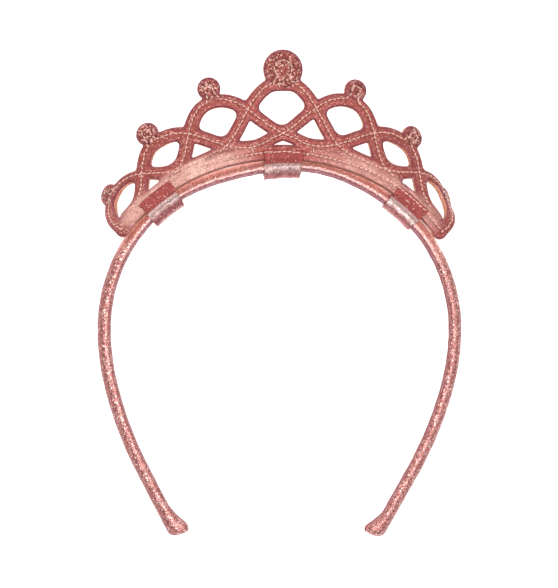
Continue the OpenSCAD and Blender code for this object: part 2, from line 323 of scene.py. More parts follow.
class Sheet:
    """The flat cutting pattern and how it is bent on to the band.

    A point of the pattern is (x, y) on the flat cloth, or (s, v): s runs along the base line, v up from it.
    """

    lean_power = 2.2
    lean_at = 58.0
    lean_limit = 61.0
    # How the backward lean grows from the sewn edge to the free edge, as (v, share), left and right
    curl_left = ((-4, 0.30), (0, 0.70), (5, 1.02), (40, 1.02))
    curl_right = ((-4, 0.15), (0, 0.39), (6, 0.85), (12, 1.28), (18, 1.50), (40, 1.50))
    v_range = (-8.0, 40.0, 0.25)
    s_range = (-72.0, 72.0, 0.5)
    # Angles from the crown in degrees, rounds in which a place is looked up, and mm to each side of a slope
    angles = (0, 125.05, 0.1)
    rounds = 7
    probe = 0.5

    def __init__(self):
        self.b = sizes("tiara_band")
        self.p = sizes("tiara_panel")
        a = np.radians(np.arange(*self.angles))
        line = crown_point(self.b, a) + self.p["offset"] * crown_out(self.b, a)
        steps = np.linalg.norm(np.diff(line, axis=0), axis=1)
        self.run = np.concatenate([[0.0], np.cumsum(steps)])
        self.angle = a
        v0, v1, dv = self.v_range
        s0, s1, ds = self.s_range
        s, v = np.arange(s0, s1 + ds / 2, ds)[:, None], np.arange(v0, v1 + dv / 2, dv)
        left = np.interp(v, *np.array(self.curl_left).T)
        right = np.interp(v, *np.array(self.curl_right).T)
        # Only the right end of the panel is curled so far back
        lean = self.lean(s) * (left + fade("right_curl", s) * (right - left))
        at_base = round(-v0 / dv)
        self.reach = self.summed(np.cos(lean), dv, at_base)
        self.fall = self.summed(np.sin(lean), dv, at_base)

    @staticmethod
    def summed(rate, step, start):
        total = np.cumsum((rate[:, 1:] + rate[:, :-1]) / 2 * step, axis=1)
        total = np.concatenate([np.zeros((len(rate), 1)), total], axis=1)
        return total - total[:, start : start + 1]

    def table(self, grid, s, v):
        """Reads a table of the sheet between its rows and columns."""
        i = np.clip((s - self.s_range[0]) / self.s_range[2], 0, grid.shape[0] - 1.001)
        j = np.clip((v - self.v_range[0]) / self.v_range[2], 0, grid.shape[1] - 1.001)
        i0, j0 = i.astype(int), j.astype(int)
        i, j = i - i0, j - j0
        low = grid[i0, j0] * (1 - i) + grid[i0 + 1, j0] * i
        high = grid[i0, j0 + 1] * (1 - i) + grid[i0 + 1, j0 + 1] * i
        return low * (1 - j) + high * j

    def angle_at(self, s):
        return np.sign(s) * np.interp(np.abs(s), self.run, self.angle)

    def run_at(self, a):
        return np.sign(a) * np.interp(np.abs(a), self.angle, self.run)

    def lean(self, s):
        return self.p["lean"] * (np.minimum(self.lean_limit, np.abs(s)) / self.lean_at) ** self.lean_power

    def flat(self, s, v):
        """From (s, v) to the flat pattern."""
        a = self.angle_at(s)
        return crown_point(self.b, a) + (self.p["offset"] + v)[..., None] * crown_out(self.b, a)

    def unflat(self, q):
        """From the flat pattern to (s, v)."""
        b = self.b
        a = np.arctan2(q[:, 0] / b["half_width"], q[:, 1] / b["rise"])
        for _ in range(self.rounds):
            out = crown_out(b, a)
            away = q - crown_point(b, a)
            along = away[:, 0] * out[:, 1] - away[:, 1] * out[:, 0]
            a = a + along / (b["rise"] + (away * out).sum(-1))
        v = ((q - crown_point(b, a)) * crown_out(b, a)).sum(-1) - self.p["offset"]
        return self.run_at(a), v

    def middle(self, s, v):
        a = self.angle_at(s)
        out = crown_out(self.b, a)
        reach, fall = self.table(self.reach, s, v), self.table(self.fall, s, v)
        flat = crown_point(self.b, a) + (self.p["offset"] + reach)[..., None] * out
        return np.concatenate([flat, (self.p["front"] - fall)[..., None]], -1)

    def place(self, q, n):
        """Points of the flat pattern in the band's frame, n mm out of the sheet."""
        s, v = self.unflat(q)
        along = self.middle(s + self.probe, v) - self.middle(s - self.probe, v)
        up = self.middle(s, v + self.probe) - self.middle(s, v - self.probe)
        out = np.cross(along, up)
        out /= np.linalg.norm(out, axis=-1, keepdims=True)
        return self.middle(s, v) + n[..., None] * out


def turned(x, y, turn):
    return x * math.cos(turn) - y * math.sin(turn), x * math.sin(turn) + y * math.cos(turn)


def rest(points, turn=0.0):
    """From the band's frame in mm to the table's frame in metres."""
    x, y = turned(points[..., 0], points[..., 1], turn)
    y, z = turned(y, points[..., 2], REST_TILT)
    return np.stack([x, y - REST_BACK, z + REST_DROP], -1) * MM


# The flat pattern


def rise(x, arch):
    place, crest, w_in, w_out, sq_in, sq_out = arch
    inner = np.exp(-((np.abs(x) / w_in) ** sq_in))
    outer = np.exp(-((np.abs(x) / w_out) ** sq_out))
    return (crest - TROUGH) * np.where(x < 0, inner, outer)


def middle_height(s):
    return TROUGH + rise(-np.abs(s), ARCHES[0]) + rise(np.abs(s) - ARCHES[3][0], ARCHES[3])


def side_height(s):
    lift, at, wide = CROSSING
    bump = lift * np.exp(-(((s - at) / wide) ** 2))
    return TROUGH + rise(-s - ARCHES[1][0], ARCHES[1]) + rise(s - ARCHES[2][0], ARCHES[2]) + bump


def middle_width(p, s):
    """Width of the strap that crests in the middle and at both ends."""
    away = np.abs(s)
    return p["strap"] - (p["strap"] - p["end_strap"]) * fade("shoulder", away) * fade("shoulder_end", away)


def side_width(p, s):
    """Width of the side strap that crests left of the middle."""
    full = p["side_strap"]
    cross = (full - p["side_cross"]) * np.exp(-((s / CROSS_WIDE) ** 2))
    crest = (full - p["side_crest"]) * np.exp(-(((s + ARCHES[1][0]) / CREST_WIDE) ** 2))
    return full - cross - crest - (full - p["side_tail"]) * fade("tail", s)


def middle_line(end_width, grow=0.0):
    """The strap that crests in the middle and at both ends. grow moves it outward on the arches."""
    at, crest = ARCHES[3][0], ARCHES[3][1] + grow
    s = np.arange(0, at, LINE_STEP)
    up = np.stack([s, middle_height(s) + grow * (middle_height(s) - TROUGH) / MIDDLE_TALL], -1)
    g = np.radians(np.linspace(90, 0, 20))
    down = np.stack([at + (end_width + grow) * np.cos(g), crest * np.sin(g)], -1)
    half = np.concatenate([up, down, [[at + end_width + grow, END_DROP]]])
    return np.concatenate([(half * [-1, 1])[:0:-1], half])


def side_line(grow=0.0):
    s = np.arange(*SIDE_ENDS, LINE_STEP)
    v = side_height(s)
    return np.stack([s, v + grow * (v - TROUGH) / SIDE_TALL], -1)


def smooth_line(line, rounds=2):
    """Cuts the corners of a polyline, or of a row of them."""
    for _ in range(rounds):
        a, b = line[..., :-1, :], line[..., 1:, :]
        cut = np.stack([0.75 * a + 0.25 * b, 0.25 * a + 0.75 * b], -2)
        cut = cut.reshape(*line.shape[:-2], -1, line.shape[-1])
        line = np.concatenate([line[..., :1, :], cut, line[..., -1:, :]], -2)
    return line


def runs_of(line):
    return np.concatenate([[0.0], np.cumsum(np.linalg.norm(np.diff(line, axis=0), axis=1))])


def near(points, line, reach=8.0, chunk=2000):
    """Distance from each point to a polyline up to reach, and how far along it the nearest place is."""
    a, d = line[:-1], np.diff(line, axis=0)
    length = np.maximum(np.linalg.norm(d, axis=1), 1e-9)
    runs = runs_of(line)[:-1]
    low, high = np.minimum(a, line[1:])[:, 0] - reach, np.maximum(a, line[1:])[:, 0] + reach
    dist, where = np.full(len(points), reach), np.zeros(len(points))
    order = np.argsort(points[:, 0], kind="stable")
    for i in range(0, len(points), chunk):
        rows = order[i : i + chunk]
        x = points[rows, 0]
        use = np.nonzero((low <= x[-1]) & (high >= x[0]))[0]
        if not len(use):
            continue
        q = points[rows, None] - a[None, use]
        t = np.clip((q * d[use]).sum(-1) / length[use] ** 2, 0, 1)
        r = q - t[..., None] * d[use]
        r2 = (r * r).sum(-1)
        k = r2.argmin(1)
        each = np.arange(len(k))
        dist[rows] = np.sqrt(r2[each, k])
        where[rows] = runs[use[k]] + t[each, k] * length[use[k]]
    return np.minimum(dist, reach), where


def keyhole(line, centre, ring, neck):
    """Leads a stitch line off its strap, round a ring inside a disc and back."""
    gap = np.linalg.norm(line - centre, axis=1)
    foot = int(gap.argmin())
    runs = runs_of(line)
    before = line[runs < runs[foot] - neck - RING_CLEAR]
    after = line[runs > runs[foot] + neck + RING_CLEAR]
    down = line[foot] - centre
    down /= np.linalg.norm(down)
    side = line[foot + 1] - line[foot - 1]
    side -= down * (side @ down)
    side /= np.linalg.norm(side)
    open_by = math.asin(neck / ring)
    turn = np.linspace(open_by, 2 * math.pi - open_by, 26)
    around = centre + ring * (np.cos(turn)[:, None] * down - np.sin(turn)[:, None] * side)
    return np.concatenate([before, around, after])


# Creases where the straps' padding overlaps the base strip, in mm: s and v at one end, s and v at the other,
# and how far each bows
CREASES = (
    (-27.5, 1.3, -17.0, 1.8, 0.6),
    (-40.5, 1.8, -36.5, 1.3, 0.0),
    (40.5, 3.7, 50.0, 0.4, -0.5),
)


def crease_line(row):
    s0, v0, s1, v1, bow = row
    t = np.linspace(0, 1, 9)
    return np.stack([s0 + (s1 - s0) * t, v0 + (v1 - v0) * t + 4 * bow * t * (1 - t)], -1)


class Pattern:
    """The outline and the relief of the padded sheet, on the flat pattern."""

    def __init__(self, sheet):
        self.sheet, self.p, self.s = sheet, sheet.p, sizes("tiara_stitch")
        p = self.p
        side = side_line()
        end = ARCHES[3][0] + p["end_width"]
        base = np.stack([np.linspace(-BASE_END, BASE_END, 130), np.full(130, BASE_V)], -1)
        # Each strap is its line and which way round its width runs, 0 for an even width
        self.straps = [
            (self.cut(middle_line(p["end_width"])), 0),
            (self.cut(side), 1),
            (self.cut(side * [-1, 1]), -1),
        ]
        self.base = (self.lay(base), p["base"] / 2)
        self.rounds = []
        for s, v, big in DISCS:
            for sign in (1, -1) if s else (1,):
                self.rounds.append((self.spot(sign * s, v), p["disc_big"] if big else p["disc_small"]))
        self.ends = [(self.spot(sign * end, END_DROP), p["strap"] / 2) for sign in (-1, 1)]
        self.stitches = self.stitch_lines()

    def drift(self, s):
        """How far the left half's straps are cut low and to the left."""
        return self.p["drift"] * fade("left_half", s) * fade("left_end", s)

    def cut(self, line):
        """A strap's line as it is really cut."""
        low = self.drift(line[:, 0])
        return self.lay(line - low[:, None])

    def lay(self, line):
        return self.sheet.flat(line[:, 0], line[:, 1])

    def spot(self, s, v):
        return self.sheet.flat(np.array([s]), np.array([v]))[0]

    def stitch_lines(self):
        """Every stitch line of the panel."""
        middle = self.cut(middle_line(self.p["end_width"], STITCH_OUT))
        lines = [smooth_line(keyhole(middle, self.spot(*DISCS[0][:2]), *RING_BIG))]
        for turn in (1, -1):
            side = side_line(STITCH_OUT)
            side = self.cut(side[side[:, 0] < SIDE_STITCH_END] * [turn, 1])
            for sign, disc in ((-turn, DISCS[1]), (turn, DISCS[2])):
                side = keyhole(side, self.spot(sign * disc[0], disc[1]), *RING_SMALL)
            lines.append(smooth_line(side))
        # Left of the loop the base stitching is left out, under the painted sheen of the base strip
        base = np.linspace(*BASE_STITCH, 120)
        height = BASE_STITCH_V - BASE_BOW * np.sin(base * BASE_BOW_PACE) ** 2
        lines.append(self.lay(np.stack([base, height], -1)))
        for sign in (-1, 1):
            at = sign * self.s["tack_at"]
            lines.append(self.lay(np.array([[at, v] for v in TACK])))
        return lines

    def zones(self, q):
        """Place along the base, extra width and corner rounding, by what lies beside each point."""
        s, v = self.sheet.unflat(q)
        low = self.drift(s)
        s, v = s + low, v + low
        waves = np.sort(np.stack([middle_height(s), side_height(s), side_height(-s)]), axis=0)
        away = np.abs(s)
        inner = ((v < waves[2]) & (v > waves[1])) * fade("eyes_end", away)
        grown = CORNER_GROW * np.maximum(away - CORNER_FROM, 0) * fade("corner_low", v)
        corner = TRIANGLE_ROUND + grown * fade("corner_end", away)
        sharp = fade("slit", away) * fade("slit_low", v) + fade("last_gap", away) * fade("last_gap_end", away)
        corner -= (corner - SLIT_ROUND) * sharp
        plain = np.where(v <= waves[1], corner, OUTSIDE_ROUND)
        return s, EYE_WIDEN * inner, plain + (EYE_ROUND - plain) * inner

    def fields(self, q):
        """How far inside each strap and disc the points are, and how softly corners are rounded there."""
        s, widen, round_by = self.zones(q)
        out = []
        for line, way in self.straps:
            width = side_width(self.p, way * s) if way else middle_width(self.p, s)
            out.append(width / 2 + widen - near(q, line)[0])
        # The base strip is cut back a little below the crossing
        out.append(self.base[1] - BASE_CUT * fade("base_cut", np.abs(s)) - near(q, self.base[0])[0])
        for centre, r in self.rounds + self.ends:
            out.append(r - np.linalg.norm(q - centre, axis=1))
        return out, round_by

    @staticmethod
    def join(fields, round_by):
        total = fields[0]
        for f in fields[1:]:
            h = np.maximum(round_by - np.abs(total - f), 0) / round_by
            total = np.maximum(total, f) + h * h * round_by / 4
        return total

    def inside(self, q):
        return self.join(*self.fields(q))

    def slope(self, q):
        """How far inside the outline the points are, and how that grows along x and y."""
        f = self.inside(q)
        rise_x, rise_y = self.inside(q + [PROBE, 0]) - f, self.inside(q + [0, PROBE]) - f
        return f, np.stack([rise_x, rise_y], -1) / PROBE


def sheet_grid(pattern, cell):
    """The pattern cut out of a grid, its edge drawn onto the outline."""
    lo, hi = GRID_LOW, GRID_HIGH
    count = np.round((hi - lo) / cell).astype(int)
    bm = bmesh.new()
    bmesh.ops.create_grid(bm, x_segments=int(count[0]), y_segments=int(count[1]), size=0.5)
    bmesh.ops.scale(bm, vec=(*(hi - lo), 1), verts=bm.verts)
    bmesh.ops.translate(bm, vec=(*((lo + hi) / 2), 0), verts=bm.verts)
    at = np.array([v.co[:2] for v in bm.verts])
    keep = pattern.inside(at)
    bm.verts.index_update()
    gone = [f for f in bm.faces if sum(keep[v.index] for v in f.verts) < 0.0]
    bmesh.ops.delete(bm, geom=gone, context="FACES")
    for _ in range(3):
        pinched = [v for v in bm.verts if sum(e.is_boundary for e in v.link_edges) > 2]
        if not pinched:
            break
        bmesh.ops.delete(bm, geom=list({v.link_faces[0] for v in pinched}), context="FACES")
    loose = [v for v in bm.verts if not v.link_faces]
    bmesh.ops.delete(bm, geom=loose, context="VERTS")
    rim = [v for v in bm.verts if v.is_boundary]
    wider = set(rim)
    for _ in range(RIM_ROWS):
        wider |= {w for v in wider for e in v.link_edges for w in e.verts}
    wider = list(wider)
    for _ in range(RIM_ROUNDS):
        bmesh.ops.smooth_vert(bm, verts=wider, factor=0.5, use_axis_x=True, use_axis_y=True)
        for _ in range(RIM_PULLS):
            q = np.array([v.co[:2] for v in rim])
            f, g = pattern.slope(q)
            step = (f / np.maximum((g * g).sum(-1), LEAST_SLOPE))[:, None] * g
            q -= np.clip(step, -MOST_STEP, MOST_STEP)
            for v, c in zip(rim, q):
                v.co[0], v.co[1] = c
    return bm


def relief(pattern, q):
    """Half thickness in front and behind, and the masks that the materials read."""
    p, s = pattern.p, pattern.s
    edge, full = p["edge"] / 2, p["thick"] / 2
    fields, round_by = pattern.fields(q)
    straps = len(pattern.straps) + 1
    joined = np.clip(pattern.join(fields, round_by) / JOINED_RISE, 0, 1)
    front = edge + (full - edge) * np.sqrt(1 - (1 - joined) ** 2)
    for i, f in enumerate(fields):
        is_disc = straps <= i < straps + len(pattern.rounds)
        top = p["disc_thick"] / 2 if is_disc else full
        t = 1 - np.clip(f / (DISC_RISE if is_disc else STRAP_RISE), 0, 1)
        front = np.maximum(front, edge + (top - edge) * np.sqrt(np.maximum(1 - t * t, 0)))
    puff = (front - edge) / (full - edge)
    groove = np.zeros(len(q))
    for line in pattern.stitches:
        dist, where = near(q, line, FELT)
        beat = np.cos(where * 2 * math.pi / s["pitch"])
        groove = np.maximum(groove, (1 - BEAT + BEAT * beat) * np.exp(-((dist / GROOVE_WIDE) ** 2)))
        groove = np.maximum(groove, PUCKER * np.exp(-((dist / PUCKER_WIDE) ** 2)) * (1 + beat) / 2)
    crease = np.zeros(len(q))
    for row in CREASES:
        line = pattern.lay(crease_line(row))
        crease = np.maximum(crease, np.exp(-((near(q, line, FELT)[0] / CREASE_WIDE) ** 2)))
    front = front - s["groove"] * groove - CREASE_DEEP * crease
    back = edge + (front + CREASE_DEEP * crease - edge) * BEHIND
    disc = np.zeros(len(q))
    for centre, r in pattern.rounds:
        inside = (r + DISC_MARGIN - np.linalg.norm(q - centre, axis=1)) / (2 * DISC_MARGIN)
        disc = np.maximum(disc, np.clip(inside, 0, 1))
    at, v = pattern.sheet.unflat(q)
    away = np.abs(at)
    # Painted sheen where the base strip leans back at its ends, weaker on the right
    rub = fade("rub", away) * fade("rub_low", v) * np.where(at < 0, 1.0, PAINTED_SHEEN_RIGHT) * fade("rub_end", away)
    # Painted shadow along the sheet's lower edge, in the gap above the band
    seat = fade("seat_low", v) * fade("seat_end", away)
    puff = np.clip(puff - GROOVE_MASK * groove - CREASE_MASK * crease, 0, 1)
    masks = {"puff": puff, "disc": disc, "rub": rub, "inset": joined, "seat": seat}
    return front, back, masks


# Helpers for pieces


def added(name, data):
    thing = bpy.data.objects.new(name, data)
    bpy.context.scene.collection.objects.link(thing)
    return thing


def made(name, bm, *materials):
    """A new object of a bmesh, at the origin."""
    mesh = bpy.data.meshes.new(name)
    bm.to_mesh(mesh)
    bm.free()
    for m in materials:
        mesh.materials.append(m)
    return added(name, mesh)


def finished(name, bm, *materials):
    """A smooth piece of the tiara."""
    piece = made(name, bm, *materials)
    piece.data.polygons.foreach_set("use_smooth", [True] * len(piece.data.polygons))
    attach(piece, "root")
    return piece


def move_points(piece, points):
    piece.data.vertices.foreach_set("co", np.ascontiguousarray(points, np.float32).ravel())
    piece.data.update()


def points_of(piece):
    co = np.empty(len(piece.data.vertices) * 3, np.float32)
    piece.data.vertices.foreach_get("co", co)
    return co.reshape(-1, 3).astype(float)


def add_mask(piece, name, values):
    layer = piece.data.attributes.new(name, "FLOAT", "POINT")
    layer.data.foreach_set("value", np.ascontiguousarray(values, np.float32))


def sweep(bm, ring, count):
    """Extrudes a closed ring of verts count times and returns the rings."""
    rings = [list(ring)]
    edges = [bm.edges.get((ring[i - 1], ring[i])) for i in range(len(ring))]
    for _ in range(count):
        grown = bmesh.ops.extrude_edge_only(bm, edges=edges)["geom"]
        edges = [g for g in grown if isinstance(g, bmesh.types.BMEdge)]
        linked = {}
        old = set(rings[-1])
        for v in (g for g in grown if isinstance(g, bmesh.types.BMVert)):
            for e in v.link_edges:
                other = e.other_vert(v)
                if other in old:
                    linked[other] = v
        rings.append([linked[v] for v in rings[-1]])
    return rings


# Materials


class Nodes:
    """A small hand for building node trees."""

    def __init__(self, name):
        old = bpy.data.materials.get(name)
        if old:
            bpy.data.materials.remove(old)
        self.material = bpy.data.materials.new(name)
        self.material.use_nodes = True
        self.tree = self.material.node_tree
        self.shader = self.tree.nodes["Principled BSDF"]

    def node(self, kind, **values):
        n = self.tree.nodes.new(kind)
        for key, value in values.items():
            if hasattr(n, key):
                setattr(n, key, value)
            else:
                n.inputs[key].default_value = value
        return n

    def link(self, a, b):
        self.tree.links.new(a, b)

    def feed(self, socket, value):
        """Links a socket, or sets it to a number or a colour."""
        if hasattr(value, "links"):
            self.link(value, socket)
        elif isinstance(value, (int, float)):
            socket.default_value = value
        else:
            socket.default_value = (*value, 1)

    def surface(self, **values):
        """Feeds the shader's sockets."""
        for key, value in values.items():
            self.feed(self.shader.inputs[key.replace("_", " ")], value)

    def math(self, op, a, b):
        n = self.node("ShaderNodeMath", operation=op)
        self.feed(n.inputs[0], a)
        self.feed(n.inputs[1], b)
        return n.outputs[0]

    def times(self, a, b):
        return self.math("MULTIPLY", a, b)

    def plus(self, a, b):
        return self.math("ADD", a, b)

    def less(self, a, b):
        return self.math("SUBTRACT", a, b)

    def mix(self, factor, a, b, blend="MIX"):
        n = self.node("ShaderNodeMix", data_type="RGBA", blend_type=blend)
        for slot, value in ((0, factor), (6, a), (7, b)):
            self.feed(n.inputs[slot], value)
        return n.outputs[2]

    def ramp(self, value, *stops):
        """Colours by a value. Each stop is a place and a colour."""
        n = self.node("ShaderNodeValToRGB")
        while len(n.color_ramp.elements) < len(stops):
            n.color_ramp.elements.new(0.5)
        for element, (at, colour) in zip(n.color_ramp.elements, stops):
            element.position = at
            element.color = (*colour, 1)
        self.link(value, n.inputs[0])
        return n.outputs[0]

    def greys(self, value, low, high):
        return self.ramp(value, (0.0, (low,) * 3), (1.0, (high,) * 3))

    def place(self):
        return self.node("ShaderNodeTexCoord").outputs["Object"]

    def mask(self, name):
        return self.node("ShaderNodeAttribute", attribute_name=name).outputs["Fac"]

    def noise(self, scale):
        n = self.node("ShaderNodeTexNoise", Scale=scale)
        self.link(self.place(), n.inputs["Vector"])
        return n.outputs[0]

    def flakes(self, size):
        """Flakes of one size in metres: their random colour, and its three channels."""
        n = self.node("ShaderNodeTexVoronoi", feature="F1", Scale=1 / size, Randomness=1)
        self.link(self.place(), n.inputs["Vector"])
        split = self.node("ShaderNodeSeparateColor")
        self.link(n.outputs["Color"], split.inputs[0])
        return n.outputs["Color"], split.outputs

    def vector(self, op, a, slot, b):
        n = self.node("ShaderNodeVectorMath", operation=op)
        self.link(a, n.inputs[0])
        if hasattr(b, "links"):
            self.link(b, n.inputs[slot])
        elif b is not None:
            n.inputs[slot].default_value = b
        return n.outputs[0]

    def tilted(self, colour, amount):
        """The surface normal thrown about by a random colour."""
        normal = self.node("ShaderNodeNewGeometry").outputs["Normal"]
        centred = self.vector("SUBTRACT", colour, 1, (0.5, 0.5, 0.5))
        thrown = self.vector("SCALE", centred, "Scale", amount)
        return self.vector("NORMALIZE", self.vector("ADD", normal, 1, thrown), 1, None)


# Size of the fine flakes against the coarse ones: on the sheet and the wrap, on the loops and the cut edge
FINE_SHEET, FINE_LOOP = 0.62, 0.7


def scaled(colour, factor):
    return tuple(min(1.0, c * factor) for c in colour)


def shades(colour, *stops):
    """Stops of a ramp: a place and how light the colour is there."""
    return [(at, scaled(colour, factor)) for at, factor in stops]


def glitter_sheet():
    """Glitter leatherette: coarse flakes on the discs, a fine grain on the straps, painted shade in the
    grooves.
    """
    f = bpy.context.scene.tiara_finish
    n = Nodes("glitter_leatherette")
    fine, (fine_a, fine_b, fine_c) = n.flakes(f.flake * FINE_SHEET)
    coarse, (coarse_a, _, _) = n.flakes(f.flake)
    disc = n.mask("disc")
    grain = shades(f.copper, (0.0, 0.55), (0.2, 0.85), (0.6, 1), (0.88, 1.3))
    straps = n.ramp(fine_a, *grain, (0.985, f.bright))
    lumps = shades(f.copper, (0.25, 0.4), (0.5, 0.8), (0.74, 1.3))
    discs = n.ramp(coarse_a, (0.0, f.dark), *lumps, (0.9, f.bright))
    colour = n.mix(disc, straps, discs)
    cloud = n.noise(160)
    colour = n.mix(n.times(cloud, 0.3), colour, scaled(f.copper, 1.2))
    # Painted sheen on the base strip's leaning ends, with its own grain
    bare = n.ramp(fine_c, *shades(f.rubbed, (0.0, 0.4), (0.35, 0.8), (0.8, 1), (1.0, 1.2)))
    rubbed = n.mix(n.mask("rub"), colour, bare)
    colour = n.mix(n.times(cloud, 1.4), colour, rubbed)
    # Painted shade: darker where the padding is thin, at the edges and in the grooves and creases, then
    # painted shade and reflection along the rims and the painted shadow along the lower edge
    shade = n.ramp(n.mask("puff"), (0.0, (0.6, 0.5, 0.52)), (0.5, (0.85, 0.75, 0.78)), (1.0, (1, 1, 1)))
    colour = n.mix(1.0, colour, shade, "MULTIPLY")
    # Painted shade and cool reflection along the rims, stronger on the discs
    rim = n.times(n.less(1.0, n.mask("inset")), n.plus(0.55, n.times(disc, 0.25)))
    colour = n.mix(rim, colour, f.rim)
    # Painted shadow along the sheet's lower edge, in the gap above the band
    colour = n.mix(n.times(n.mask("seat"), 0.7), colour, f.seat)
    tilt = n.plus(0.3, n.times(disc, 0.45))
    n.surface(
        Base_Color=colour,
        Metallic=0.45,
        Roughness=n.greys(fine_b, 0.38, 0.68),
        Normal=n.tilted(n.mix(disc, fine, coarse), tilt),
        Sheen_Weight=0.25,
        Sheen_Roughness=0.35,
    )
    return n.material


def cut_edge():
    """The raw edge of the sheet: tan backing and foam with a few flakes caught on it."""
    f = bpy.context.scene.tiara_finish
    n = Nodes("raw_cut_edge")
    _, (grain, _, _) = n.flakes(f.flake * FINE_LOOP)
    backing = shades(f.cut_edge, (0.0, 0.55), (0.25, 1), (0.8, 1.15))
    colour = n.ramp(grain, *backing, (0.95, (0.7, 0.42, 0.34)))
    bump = n.node("ShaderNodeBump", Strength=0.5, Distance=0.0002)
    n.link(n.noise(2600), bump.inputs["Height"])
    # The painted shadow along the sheet's lower edge runs on over the cut edge
    n.surface(Base_Color=n.mix(n.mask("seat"), colour, f.seat), Roughness=0.75, Normal=bump.outputs[0])
    return n.material


def thread():
    """Light pink sewing thread."""
    f = bpy.context.scene.tiara_finish
    n = Nodes("sewing_thread")
    colour = n.ramp(n.noise(900), *shades(f.thread, (0.3, 0.7), (0.7, 1.15)))
    n.surface(Base_Color=colour, Roughness=0.5, Sheen_Weight=0.2)
    return n.material


def lame(name, flake, dark, tilt):
    """Shiny cloth with a fine glitter grain: its node tree, its colour and a random grey of the grain."""
    f = bpy.context.scene.tiara_finish
    n = Nodes(name)
    fine, (flecks, grain, _) = n.flakes(flake)
    cloth = shades(f.rose, (0.0, dark), (0.15, 0.75), (0.45, 1), (0.75, 1.25))
    colour = n.ramp(flecks, *cloth, (0.92, f.bright), (1.0, f.glint))
    n.surface(Normal=n.tilted(fine, tilt), Coat_Roughness=0.35, Coat_IOR=2.0)
    return n, colour, grain


def band_wrap():
    """Rose glitter cloth wrapped round the band, with painted shade in dark red along the lap on its inner
    side.
    """
    f = bpy.context.scene.tiara_finish
    n, colour, grain = lame("band_glitter_wrap", f.flake * FINE_SHEET, 0.45, 0.45)
    crown, inner = n.mask("crown"), n.mask("inner")
    # On the crown's outer side the flakes are evened out toward a lighter rose, part of the painted
    # reflection there
    smooth = n.times(n.times(crown, n.less(1.0, inner)), 0.6)
    colour = n.mix(smooth, colour, scaled(f.rose, 1.2))
    # Painted shade on the band's sides, painted light on its front
    sides = n.mix(n.mask("front"), (0.7, 0.55, 0.58), (1.15, 1.15, 1.12))
    # On the crown: painted reflection of the panel in tan on the outer side, painted shade in mauve on the
    # inner side
    tint = n.mix(crown, sides, n.mix(inner, f.tan, f.mauve))
    colour = n.mix(1.0, colour, tint, "MULTIPLY")
    # Painted shade in dark red along the lap, where the underside turns away
    colour = n.mix(n.mask("seam"), colour, n.mix(0.3, f.seam, colour))
    shine = n.times(n.plus(0.2, n.times(crown, 0.8)), n.mask("front"))
    coat = n.times(shine, n.plus(0.4, n.times(grain, 0.8)))
    n.surface(Base_Color=colour, Metallic=0.5, Roughness=n.greys(grain, 0.26, 0.5), Coat_Weight=coat)
    return n.material


def loop_cloth():
    """The same cloth round the band: matt where it lies on the sheet, with painted shade in dark red there,
    painted shade in mauve where it hangs slack, and a painted highlight on the crest.
    """
    f = bpy.context.scene.tiara_finish
    n, colour, grain = lame("loop_glitter_cloth", f.flake * FINE_LOOP, 0.3, 0.5)
    slack, patch = n.mask("slack"), n.mask("patch")
    # Painted shade in mauve where the loop hangs slack under the band
    colour = n.mix(n.times(slack, 0.65), colour, f.slack)
    # Painted highlight: paler on the crest, away from the slack
    colour = n.mix(n.less(0.22, n.times(slack, 0.22)), colour, f.glint)
    # Matt cloth, with painted shade in dark red, where the loop lies on the sheet
    matt = n.ramp(grain, *shades(f.fold, (0.0, 0.6), (0.5, 1), (0.92, 1.4)), *shades(f.bright, (0.995, 0.8)))
    coat = n.times(n.less(1.0, patch), n.less(1.0, n.times(slack, 0.9)))
    n.surface(
        Base_Color=n.mix(patch, colour, matt),
        Metallic=n.less(0.5, n.times(patch, 0.4)),
        Roughness=n.mix(patch, n.greys(grain, 0.24, 0.45), (0.62,) * 3),
        Coat_Weight=coat,
    )
    return n.material


def plain_floor():
    f = bpy.context.scene.tiara_stage
    n = Nodes("pale_floor")
    n.surface(Base_Color=f.floor, Roughness=0.9, Specular_IOR_Level=0.1)
    n.surface(Emission_Color=(1, 1, 1), Emission_Strength=f.glow)
    return n.material


# Operators


class OBJECT_OT_tiara_panel(Operator):
    """Cut, pad and bend the glitter panel"""

    bl_idname = "object.tiara_panel"
    bl_label = "Crown Panel"

    coarser, cuts, swell = 1.6, 2, 0.12

    def execute(self, context):
        sheet = Sheet()
        pattern = Pattern(sheet)
        bm = sheet_grid(pattern, pattern.p["cell"] * (1.0))
        raised = bmesh.ops.extrude_face_region(bm, geom=bm.faces[:], use_keep_orig=True)["geom"]
        top = {g for g in raised if isinstance(g, bmesh.types.BMVert)}
        upright = [e for e in bm.edges if (e.verts[0] in top) != (e.verts[1] in top)]
        # Until the sheet is bent, z is 1 on its front, -1 on its back and between them on the cut edge
        for v in bm.verts:
            v.co[2] = 1.0 if v in top else -1.0
        bmesh.ops.subdivide_edges(bm, edges=upright, cuts=self.cuts, use_grid_fill=True)
        for face in bm.faces:
            if len({round(v.co[2], 2) for v in face.verts}) > 1:
                face.material_index = 1
        bmesh.ops.recalc_face_normals(bm, faces=bm.faces)
        piece = finished("crown_panel", bm, glitter_sheet(), cut_edge())
        at = points_of(piece)
        q, side = at[:, :2], at[:, 2]
        front, back, masks = relief(pattern, q)
        n = np.where(side > 0, side * front, side * back)
        bare = np.abs(side) < 0.9
        out = np.zeros((len(at), 2))
        out[bare] = -self.swell * pattern.slope(q[bare])[1]
        move_points(piece, rest(sheet.place(q + out, n), sheet.p["turn"]))
        for name, values in masks.items():
            add_mask(piece, name, values)
        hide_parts("panel")
        return {"FINISHED"}


